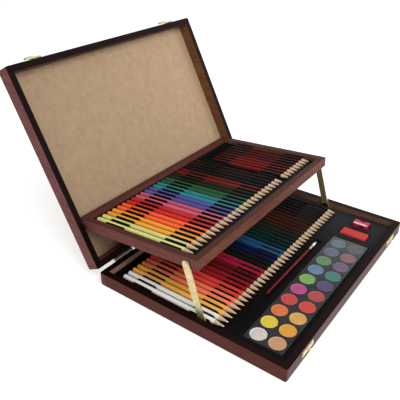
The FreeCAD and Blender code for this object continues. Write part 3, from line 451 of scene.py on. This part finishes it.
def formed_sheet(name, xs, ys, height, skirt, place=BASE):
    """A sheet over the grid xs by ys with its height from a function, and edges turned down."""
    grid_x, grid_y = np.meshgrid(xs, ys, indexing="ij")
    points = np.stack([grid_x, grid_y, height(grid_x, grid_y)], -1).reshape(-1, 3)
    index = np.arange(grid_x.size).reshape(grid_x.shape)
    quads = np.stack([index[:-1, :-1], index[1:, :-1], index[1:, 1:], index[:-1, 1:]], -1).reshape(-1, 4)
    border = np.concatenate([index[:, 0], index[-1, 1:], index[-2::-1, -1], index[0, -2:0:-1]])
    hem = points[border].copy()
    hem[:, 2] = skirt
    ring = np.arange(len(border))
    following = (ring + 1) % len(border)
    walls = np.stack([border[following], border, len(points) + ring, len(points) + following], -1)
    points = np.concatenate([points, hem])
    quads = np.concatenate([quads, walls])
    moved = points * MM @ np.array(place.to_3x3()).T + np.array(place.translation)
    mesh = bpy.data.meshes.new(name)
    mesh.vertices.add(len(moved))
    mesh.vertices.foreach_set("co", moved.astype(np.float32).ravel())
    mesh.loops.add(quads.size)
    mesh.loops.foreach_set("vertex_index", quads.astype(np.int32).ravel())
    mesh.polygons.add(len(quads))
    mesh.polygons.foreach_set("loop_start", np.arange(0, quads.size, 4, dtype=np.int32))
    mesh.update(calc_edges=True)
    mesh.validate()
    return mesh


# ---------------------------------------------------------------- the two rows of pencils
PENCIL = 7.2
GROOVE = PENCIL / 2 + 0.3
GROOVE_OVERRUN = 1.0
RIB_LEDGE = 0.2
RIB_DRAFT = 0.25
RIB_WALL = GROOVE + RIB_LEDGE


class Row:
    """A row of pencils and the ribs between them, in its body's frame.

    groups maps each CAD node to its number of pencils; the first pencil gives the row's length.
    seat is how far the pencils' axes lie above the deck."""

    def __init__(self, groups, place, seat, rib_starts, rib_length, rib_top):
        self.place = place
        self.pencils = []
        for group, count in groups.items():
            low, high = local_box(group, place)
            first = low.x + PENCIL / 2
            last = high.x - PENCIL / 2
            self.pitch = (last - first) / (count - 1)
            self.pencils += [(first + self.pitch * index, high.y - low.y, group) for index in range(count)]
            self.tip = low.y
            self.axis = (low.z + high.z) / 2
        self.end = self.tip + self.pencils[0][1]
        self.deck = self.axis - seat
        self.groove_edge = math.sqrt(GROOVE ** 2 - seat ** 2)
        self.rib_top = rib_top
        self.rib_radius = self.pitch / 2 - RIB_WALL
        self.rib_spans = [(self.tip + start, self.tip + start + rib_length) for start in rib_starts]

    def grooves(self):
        """The middle of every groove, one without a pencil included."""
        middles = [self.pencils[0][0]]
        while middles[-1] < self.pencils[-1][0] - self.pitch / 2:
            middles.append(middles[-1] + self.pitch)
        return np.array(middles)

    def level(self, x, y):
        """Height of the grooves and ribs at places on the row's sheet."""
        middles = self.grooves()
        ribs = np.append(middles - self.pitch / 2, middles[-1] + self.pitch / 2)
        beside = np.abs(x - nearest(x, middles))
        inside = (y > self.tip - GROOVE_OVERRUN) & (y < self.end + GROOVE_OVERRUN) & (beside < GROOVE)
        groove = self.axis - np.sqrt(np.maximum(GROOVE ** 2 - beside ** 2, 0))
        height = np.where(inside, np.minimum(self.deck, groove), self.deck)
        for start, end in self.rib_spans:
            away = bar_distance(x, y, nearest(x, ribs), start, end, self.rib_radius)
            rib = self.deck + self.rib_top * smooth_step(-away / RIB_DRAFT)
            height = np.maximum(height, np.where(away < 0, rib, height))
        return height

    def fine_x(self):
        """Grid places across the grooves: close together at their edges and at the ribs'."""
        offsets = (0, 1.0, 2.0, self.groove_edge, 3.3, 3.6, RIB_WALL, RIB_WALL + RIB_DRAFT, self.pitch / 2)
        return [(x + sign * offset, 0.0, 1.0) for x in self.grooves() for offset in offsets
                for sign in (-1, 1)]

    def fine_y(self):
        """Grid places along the grooves: close together at the ends of the ribs and the row."""
        ends = [(edge, 1.6, 0.25) for span in self.rib_spans for edge in span]
        return ends + [(self.tip, 2.0, 0.5), (self.end, 2.0, 0.5)]


def nearest(x, places):
    index = np.clip(np.searchsorted((places[1:] + places[:-1]) / 2, x), 0, len(places) - 1)
    return places[index]


lower = Row({"pencils_lower_1": 9, "pencils_lower_2": 9, "pencils_lower_3": 9, "pencils_lower_4": 9},
            BASE, seat=2.9, rib_starts=(19.4, 120.0), rib_length=33.8, rib_top=6.3)
upper = Row({"pencils_upper_1": 8, "pencils_upper_2": 8, "pencils_upper_3": 8, "pencils_graphite": 8},
            TRAY, seat=0.1, rib_starts=(15.1, 117.5), rib_length=36.4, rib_top=4.85)

# ---------------------------------------------------------------- pencils
LACQUERS = {
    "white": (244, 242, 236), "pale_lime": (226, 224, 134), "golden": (254, 184, 76),
    "amber": (248, 166, 48), "orange": (252, 100, 46), "peach": (254, 128, 92),
    "vermilion": (226, 68, 58), "scarlet": (206, 38, 40), "crimson": (150, 26, 34),
    "dark_red": (104, 20, 24), "magenta": (160, 26, 58), "pink": (206, 92, 116),
    "violet": (90, 82, 158), "navy": (18, 24, 66), "steel_blue": (36, 82, 124),
    "teal": (48, 132, 142), "dark_teal": (14, 48, 50), "green": (40, 94, 60),
    "dark_green": (24, 44, 36), "olive": (38, 40, 28), "bottle": (24, 26, 22),
    "red_brown": (106, 28, 22), "brown": (66, 26, 18), "sepia": (36, 22, 18),
    "ink": (26, 22, 24), "maroon": (104, 18, 12), "dark_maroon": (74, 16, 12)}
# Each colour is that of two pencils side by side, from the left.
LOWER_ROW = ("white", "golden", "peach", "vermilion", "crimson", "dark_red", "magenta", "bottle", "navy",
             "steel_blue", "dark_teal", "dark_green", "olive", "brown", "brown", "sepia", "ink", "ink")
UPPER_ROW = ("pale_lime", "amber", "orange", "scarlet", "pink", "violet", "teal", "green", "olive",
             "red_brown", "ink", "sepia", "maroon", "maroon", "dark_maroon", "dark_maroon")
PAIR_SHADES = (1.0, 0.9)
CONE = 14.5
CONE_STEPS = 6
LEAD_LENGTH = 2.4
LEAD_RADIUS = 0.95
# The order of a pencil's materials.
COAT, CUT, LEAD = range(3)


def pencil_mesh(name, x, length, row):
    """A round pencil: pointed lead, cut cone, lacquered barrel and rounded end with its lead."""
    radius = PENCIL / 2
    outline = [(0.0, 0.2, LEAD), (0.5, 0.5, LEAD), (LEAD_LENGTH, LEAD_RADIUS, LEAD)]
    for step in range(CONE_STEPS):
        share = step / CONE_STEPS
        outline.append((LEAD_LENGTH + 0.05 + (CONE - LEAD_LENGTH) * share,
                        LEAD_RADIUS + 0.06 + (radius * 0.985 - LEAD_RADIUS) * share, CUT))
    outline += [(CONE, radius * 0.985, COAT), (CONE + 0.6, radius, COAT), (length - 3.0, radius, COAT),
                (length - 1.6, radius * 0.97, COAT), (length - 0.7, radius * 0.84, COAT),
                (length - 0.2, radius * 0.58, COAT), (length - 0.1, LEAD_RADIUS, LEAD),
                (length, LEAD_RADIUS * 0.7, LEAD)]
    return turned(name, outline, (x, row.tip, row.axis), (0, 1, 0), row.place, sides=24)


def lay_pencils(row, colors, body, tag):
    for index, (x, length, group) in enumerate(row.pencils):
        color = shade(linear(*LACQUERS[colors[index // 2]]), PAIR_SHADES[index % 2])
        name = f"{tag}_pencil_{index + 1:02d}"
        lead = graphite if group == "pencils_graphite" else moulded(f"{name}_lead", color, 0.55, 900, 0.2)
        add_piece(name, pencil_mesh(name, x, length, row), body, group,
                  [lacquer(f"{name}_lacquer", color), cut_wood, lead])


cut_wood = sharpened_wood()
graphite = moulded("graphite_lead", linear(58, 58, 62), 0.4, 900, 0.2)
lay_pencils(lower, LOWER_ROW, "lower_pencils", "lower")
lay_pencils(upper, UPPER_ROW, "upper_pencils", "upper")

# ---------------------------------------------------------------- the inserts the pencils lie in
INSERT_CORNER = 1.5
INSERT_ROLL = 1.6
RECESS_GAP = 1.2
RECESS_FLOOR_GAP = 0.3
RECESS_DRAFT = 1.2
PAINT_RECESS_DRAFT = 1.0
CHANNEL_HALF_WIDTH = 6.5
CHANNEL_CORNER = 6.4
CHANNEL_PAST_HANDLE = 12
CHANNEL_PAST_HAIR = 8
NOTCH_DEPTH = 4.6
NOTCH_PAST_EDGE = 2
NOTCH_FRONT = -72.0
NOTCH_REAR = -8.0
NOTCH_CORNER = 0.5
NOTCH_DRAFT = 0.4
NOTCH_FLOOR = 0.3
insert_low, insert_high = local_box("base_insert")
tray_insert_low, tray_insert_high = local_box("tray_insert", TRAY)
paint_low, paint_high = local_box("paint_tray")
eraser_low, eraser_high = local_box("eraser")
sharpener_low, sharpener_high = local_box("sharpener_body")
handle_low, handle_high = local_box("brush_handle")
bristle_low, bristle_high = local_box("brush_bristles")
brush_y = (handle_low.y + handle_high.y) / 2
brush_z = (handle_low.z + handle_high.z) / 2

Recess = namedtuple("Recess", "low high corner floor draft")


def recess(low, high, corner, draft=RECESS_DRAFT):
    """The recess round a piece that has these corners."""
    return Recess((low.x - RECESS_GAP, low.y - RECESS_GAP), (high.x + RECESS_GAP, high.y + RECESS_GAP),
                  corner, low.z - RECESS_FLOOR_GAP, draft)


recesses = [
    recess(paint_low, paint_high, 3.0, PAINT_RECESS_DRAFT),
    recess(eraser_low, eraser_high, 3.5),
    recess(sharpener_low, sharpener_high, 2.5),
    Recess((handle_low.x - CHANNEL_PAST_HANDLE, brush_y - CHANNEL_HALF_WIDTH),
           (bristle_high.x + CHANNEL_PAST_HAIR, brush_y + CHANNEL_HALF_WIDTH),
           CHANNEL_CORNER, handle_low.z - RECESS_FLOOR_GAP, RECESS_DRAFT)]
# The feet of the arms stand in these two.
notches = [((-insert_high.x - NOTCH_PAST_EDGE, NOTCH_FRONT), (-insert_high.x + NOTCH_DEPTH, NOTCH_REAR)),
           ((insert_high.x - NOTCH_DEPTH, NOTCH_FRONT), (insert_high.x + NOTCH_PAST_EDGE, NOTCH_REAR))]


def base_level(x, y):
    height = lower.level(x, y)
    for low, high, corner, floor, draft in recesses:
        away = pad_distance(x, y, low, high, corner)
        sunk = lower.deck - (lower.deck - floor) * (1 - smooth_step(away / draft))
        height = np.where(away < draft, np.minimum(height, sunk), height)
    for low, high in notches:
        away = pad_distance(x, y, low, high, NOTCH_CORNER)
        height = np.where(away < NOTCH_DRAFT, insert_low.z + NOTCH_FLOOR, height)
    return height - rolled_edge(x, y, insert_low, insert_high, INSERT_CORNER, INSERT_ROLL, INSERT_ROLL)


def tray_level(x, y):
    return upper.level(x, y) - rolled_edge(x, y, tray_insert_low, tray_insert_high,
                                           INSERT_CORNER, INSERT_ROLL, INSERT_ROLL)


def add_insert(name, body, node, material, corners, places, level, place):
    """A formed insert, its grid finer at the places given across and along it."""
    low, high = corners
    xs = fine_lines(low.x, high.x, 3.0, places[0] + both_ends(low, high, 0, 2.0, 0.4))
    ys = fine_lines(low.y, high.y, 4.0, places[1] + both_ends(low, high, 1, 2.0, 0.4))
    sheet = formed_sheet(name, xs, ys, level, low.z, place)
    add_piece(name, sheet, body, node, [material])


fine_x = lower.fine_x()
fine_y = lower.fine_y()
for low, high, *_ in recesses:
    fine_x += both_ends(low, high, 0, 4.0, 0.5)
    fine_y += both_ends(low, high, 1, 4.0, 0.5)
for low, high in notches:
    fine_x += both_ends(low, high, 0, 1.0, 0.3)
    fine_y += both_ends(low, high, 1, 1.0, 0.3)
# The base insert has a painted reflection towards its right end.
sheened_plastic = formed_plastic("formed_black_plastic_base", linear(7, 7, 8), sheen_from=0.05, sheen_to=0.19)
add_insert("base_formed_insert", "base", "base_insert", sheened_plastic, (insert_low, insert_high),
           (fine_x, fine_y), base_level, BASE)
black_plastic = formed_plastic("formed_black_plastic", linear(9, 9, 10))
add_insert("tray_formed_insert", "tray", "tray_insert", black_plastic, (tray_insert_low, tray_insert_high),
           (upper.fine_x(), upper.fine_y()), tray_level, TRAY)

# ---------------------------------------------------------------- boards
lid_turn = (lid_open, 0, 0)
tray_turn = (tray_tilt, 0, 0)
lid_rim = tuple(LID.to_3x3() @ Vector((0, 0, -1)))
tray_rim = tuple(TRAY.to_3x3() @ Vector((0, 0, 1)))
# The turn of each frame's grain, the way its rims face, and their colour: dark stain with painted shade,
# darker on the lid and paler on the tray.
FRAMES = {
    "base": ((0, 0, 0), (0, 0, 1), RIM),
    "lid": (lid_turn, lid_rim, shade(RIM, 0.6)),
    "tray": (tray_turn, tray_rim, linear(80, 46, 40))}
# Boards whose tone holds painted light and shade: painted glare and sheen on the paler ones, painted shade
# on the darker ones.
LIT_AND_SHADED_TONES = {
    "base_front_wall": linear(100, 77, 75), "base_rear_wall": linear(156, 126, 110),
    "base_left_wall": linear(96, 54, 48), "base_right_wall": linear(122, 92, 70),
    "lid_left_wall": linear(128, 80, 78), "lid_right_wall": linear(122, 84, 54),
    "tray_front_wall": linear(112, 70, 58), "tray_left_wall": linear(122, 74, 68),
    "tray_right_wall": linear(112, 80, 58)}
for owner, (turn, rim_normal, rim_color) in FRAMES.items():
    for side in ("front", "rear", "left", "right"):
        name = f"{owner}_{side}_wall"
        along_x = side in ("front", "rear")
        # The ends of the front and rear boards take the left wall's tone, with its painted shade.
        end_wood = LIT_AND_SHADED_TONES.get(f"{owner}_left_wall", WOOD) if along_x else None
        dress(name, stained_wood(f"{name}_wood", turn, along_x, LIT_AND_SHADED_TONES.get(name, WOOD),
                                 rim_normal, rim_color, end_wood), rounding=0.7)

PANEL = linear(150, 124, 98)
half_width = local_box("lid_panel", LID)[1].x * MM
# The lid panel has painted shade to the left and painted light to the right.
dress("lid_panel", hardboard("lid_hardboard", linear(170, 144, 115), lid_turn, half_width, painted_falloff=0.16))
dress("tray_bottom_panel", hardboard("tray_hardboard", PANEL, tray_turn, half_width))
dress("base_bottom_panel", hardboard("base_hardboard", PANEL, (0, 0, 0), half_width))

# ---------------------------------------------------------------- fittings
brass = metal("pale_brass", linear(226, 214, 170), 0.3)
arm_brass = metal("arm_brass", linear(222, 206, 156), 0.26, scratches=0.05, metallic=0.85)
hinge_brass = metal("hinge_plate_metal", linear(178, 172, 160), 0.38)
for name in nodes:
    if name.startswith("hinge"):
        dress(name, hinge_brass, rounding=0.25)
    if name.startswith("latch"):
        dress(name, brass, rounding=0.22)
    if name.startswith("link_arm"):
        dress(name, arm_brass, rounding=0.25)
dress("arm_rivets", brass, rounding=0.3)
dress("tray_pivot_pins", brass, rounding=0.3)
dress("arm_studs", metal("aged_bronze", linear(96, 78, 52), 0.4), rounding=0.3)
dress("lid_panel_brads", metal("dark_steel", linear(70, 62, 58), 0.45))

# ---------------------------------------------------------------- paint set
CAKES = {
    "white": (214, 206, 198), "lemon": (226, 204, 54), "yolk": (228, 160, 46), "ochre": (224, 172, 80),
    "buff": (202, 152, 112), "orange": (228, 116, 50), "red": (218, 62, 48), "rose": (214, 58, 60),
    "carmine": (196, 56, 68), "magenta": (202, 64, 144), "plum": (84, 60, 120), "lime": (132, 202, 82),
    "sky": (108, 154, 204), "jade": (40, 144, 130), "leaf": (104, 178, 100), "mauve": (138, 90, 140),
    "slate": (108, 118, 164), "brick": (200, 110, 102), "aqua": (106, 164, 184), "black": (70, 70, 76)}
REAR_PANS = ("white", "lemon", "orange", "rose", "magenta", "lime", "sky", "leaf", "slate", "aqua")
FRONT_PANS = ("buff", "yolk", "ochre", "red", "carmine", "plum", "jade", "mauve", "brick", "black")
PAN_RADIUS = 11.7
WELL_RADIUS = 12.5
WELL_DRAFT = 0.5
RIM_PALER = 26
# The order of a pan's materials.
CAKE, PAN_RIM = range(2)
pans_low, pans_high = local_box("paint_pans")
pan_step = (pans_high.x - pans_low.x - 2 * PAN_RADIUS) / (len(REAR_PANS) - 1)
pan_places = [(pans_low.x + PAN_RADIUS + pan_step * column, y, CAKES[cake])
              for y, cakes in ((pans_high.y - PAN_RADIUS, REAR_PANS), (pans_low.y + PAN_RADIUS, FRONT_PANS))
              for column, cake in enumerate(cakes)]
well_depth = paint_high.z - pans_low.z + 0.2


def paint_level(x, y):
    height = np.full(x.shape, paint_high.z)
    for pan_x, pan_y, _ in pan_places:
        away = np.hypot(x - pan_x, y - pan_y) - WELL_RADIUS
        height = np.where(away < 0, paint_high.z - well_depth * smooth_step(-away / WELL_DRAFT), height)
    return height - rolled_edge(x, y, paint_low, paint_high, corner=2.5, drop=1.5, reach=1.2)


def pan_mesh(name, pan_x, pan_y):
    """A round pan with a thin rim, filled with a cake that is a little hollow at its edge."""
    top = pans_high.z - pans_low.z
    outline = [(0.0, PAN_RADIUS - 0.9, PAN_RIM), (0.5, PAN_RADIUS - 0.4, PAN_RIM),
               (top - 0.35, PAN_RADIUS - 0.05, PAN_RIM), (top, PAN_RADIUS - 0.3, PAN_RIM),
               (top, PAN_RADIUS - 0.8, PAN_RIM), (top - 0.7, PAN_RADIUS - 1.15, CAKE),
               (top - 0.45, PAN_RADIUS - 2.2, CAKE), (top - 0.2, PAN_RADIUS * 0.5, CAKE),
               (top - 0.15, PAN_RADIUS * 0.12, CAKE)]
    return turned(name, outline, (pan_x, pan_y, pans_low.z), (0, 0, 1), sides=48)


charcoal_plastic = formed_plastic("formed_charcoal_plastic", linear(44, 43, 45), 0.5)
sheet = formed_sheet("paint_pan_tray", fine_lines(paint_low.x, paint_high.x, 0.7),
                     fine_lines(paint_low.y, paint_high.y, 0.7), paint_level, paint_low.z)
add_piece("paint_pan_tray", sheet, "paint_set", "paint_tray", [charcoal_plastic])

for index, (pan_x, pan_y, color) in enumerate(pan_places):
    name = f"paint_pan_{index + 1:02d}"
    cake = moulded(f"{name}_cake", linear(*color), 0.72, 260, 0.14, 0.35)
    paler = tuple(min(255, value + RIM_PALER) for value in color)
    rim = moulded(f"{name}_rim", linear(*paler), 0.4, 300, 0.1, 0.1)
    add_piece(name, pan_mesh(name, pan_x, pan_y), "paint_set", "paint_pans", [cake, rim])

cover_low, cover_high = local_box("paint_cover")
cover = hazy_cover("clear_paint_cover", cover_low.x * MM, cover_high.x * MM)
add_piece("paint_cover_sheet", rounded_block("paint_cover_sheet", cover_low, cover_high, 0.45),
          "paint_set", "paint_cover", [cover])

# ---------------------------------------------------------------- brush
HANDLE_RADIUS = 2.3
# The handle's radius, as a share of its thickest, at shares of its length.
HANDLE_PROFILE = ((0.0, 0.35), (0.02, 0.62), (0.06, 0.74), (0.2, 0.8), (0.45, 0.9), (0.68, 0.98),
                  (0.8, 1.0), (0.9, 0.94), (0.97, 0.82), (1.0, 0.8))


def brush_part(name, outline, start_x, node, slot, material, **turning):
    """A part of the brush, turned about its axis from start_x on."""
    outline = [(along, radius, 0) for along, radius in outline]
    mesh = turned(name, outline, (start_x, brush_y, brush_z), (1, 0, 0), **turning)
    add_piece(name, mesh, "brush", node, [material])


def hairs(turn):
    return 1.0 + 0.05 * math.sin(turn * 9) + 0.03 * math.sin(turn * 17 + 1)


handle_length = handle_high.x - handle_low.x
brush_part("brush_handle_turned",
           [(share * handle_length, HANDLE_RADIUS * width) for share, width in HANDLE_PROFILE],
           handle_low.x, "brush_handle", "red_lacquer",
           lacquer("brush_red_lacquer", linear(108, 22, 28), gloss=0.18))

ferrule_low, ferrule_high = local_box("brush_ferrule")
ferrule_length = ferrule_high.x - ferrule_low.x
brush_part("brush_ferrule_crimped",
           [(0.0, 2.25), (0.4, 2.3), (2.0, 2.28), (2.4, 2.12), (2.8, 2.28), (3.6, 2.28), (4.0, 2.12),
            (4.4, 2.26), (ferrule_length - 0.3, 2.0), (ferrule_length, 1.9)],
           ferrule_low.x, "brush_ferrule", "steel_pins", metal("plain_steel", linear(168, 166, 162), 0.35))

bristle_length = bristle_high.x - bristle_low.x
brush_part("brush_hair",
           [(-0.5, 1.75), (bristle_length * 0.25, 2.1), (bristle_length * 0.5, 2.0),
            (bristle_length * 0.75, 1.4), (bristle_length * 0.93, 0.6), (bristle_length, 0.15)],
           bristle_low.x, "brush_bristles", "bristle",
           moulded("white_bristle", linear(238, 236, 230), 0.5, 2200, 0.2, 0.6), sides=40, shape=hairs)

# ---------------------------------------------------------------- eraser and sharpener
rubber = moulded("eraser_coral_rubber", linear(198, 62, 56), 0.62, 180, 0.16, 0.25, specular=0.15)
add_piece("eraser_rounded", rounded_block("eraser_rounded", eraser_low, eraser_high, 2.2, segments=5),
          "eraser", "eraser", [rubber])

crimson = metal("sharpener_crimson_metal", linear(200, 44, 80), 0.36, metallic=0.4)
dress("sharpener_body", crimson, rounding=0.35)
dress("sharpener_blade", metal("blade_steel", linear(214, 192, 190), 0.42, metallic=0.5), rounding=0.1)

# ---------------------------------------------------------------- floor, light and camera
FLOOR = 6.0
FLOOR_GLOW = 0.5
WORLD_LIGHT = 0.62
AIM = Vector((0.0, 0.05, 0.08))
LAMP_SIZE = 1.2
CAMERA_AT = (-0.61459, -0.33049, 0.50615)
CAMERA_TURN_DEGREES = (59.868, -0.178, -53.625)
CAMERA_LENS = 47.83


def lay_floor():
    """A pale floor that keeps the object's shadow and looks white where it is seen."""
    mesh = bpy.data.meshes.new("floor")
    mesh.from_pydata([(-FLOOR, -FLOOR, 0), (FLOOR, -FLOOR, 0), (FLOOR, FLOOR, 0), (-FLOOR, FLOOR, 0)], [],
                     [(0, 1, 2, 3)])
    floor = bpy.data.objects.new("floor", mesh)
    bpy.context.scene.collection.objects.link(floor)
    shader = Shader("floor_white")
    grain = shader.noise(shader.coordinates(), 3.0, detail=2.0)
    shader.set(color=shader.mix(grain, grey(0.78), grey(0.8)), rough=0.9, specular=0.0)
    strength = shader.math("MULTIPLY", shader.seen(), FLOOR_GLOW)
    glow = shader.add("ShaderNodeEmission", {"Color": grey(1.0), "Strength": strength})
    both = shader.add("ShaderNodeAddShader", {0: shader.surface.outputs[0], 1: glow.outputs[0]})
    shader.put(both.outputs[0], shader.tree.nodes["Material Output"].inputs["Surface"])
    mesh.materials.append(shader.material)


def light_world():
    """Even light all round, which looks white where it is seen."""
    world = bpy.data.worlds.new("studio")
    bpy.context.scene.world = world
    world.use_nodes = True
    world.node_tree.nodes.clear()
    sky = Nodes(world.node_tree)
    light = sky.add("ShaderNodeBackground", {"Color": grey(1.0), "Strength": WORLD_LIGHT})
    white = sky.add("ShaderNodeBackground", {"Color": grey(1.0), "Strength": 1.0})
    choose = sky.add("ShaderNodeMixShader", {0: sky.seen(), 1: light.outputs[0], 2: white.outputs[0]})
    sky.add("ShaderNodeOutputWorld", {0: choose.outputs[0]})


def area_lamp(name, at, power):
    data = bpy.data.lights.new(name, "AREA")
    data.shape = "SQUARE"
    data.size = LAMP_SIZE
    data.energy = power
    lamp = bpy.data.objects.new(name, data)
    bpy.context.scene.collection.objects.link(lamp)
    lamp.location = at
    lamp.rotation_euler = (AIM - Vector(at)).to_track_quat("-Z", "Y").to_euler()


def place_camera():
    data = bpy.data.cameras.new("camera")
    data.lens = CAMERA_LENS
    data.sensor_width = 36.0
    data.clip_start = 0.01
    camera = bpy.data.objects.new("camera", data)
    bpy.context.scene.collection.objects.link(camera)
    camera.location = CAMERA_AT
    camera.rotation_euler = [math.radians(turn) for turn in CAMERA_TURN_DEGREES]
    bpy.context.scene.camera = camera


lay_floor()
light_world()
area_lamp("key", at=(-0.9, -1.5, 1.9), power=34)
area_lamp("fill", at=(1.6, -1.1, 1.0), power=12)
place_camera()
bpy.context.scene.view_settings.view_transform = "Standard"
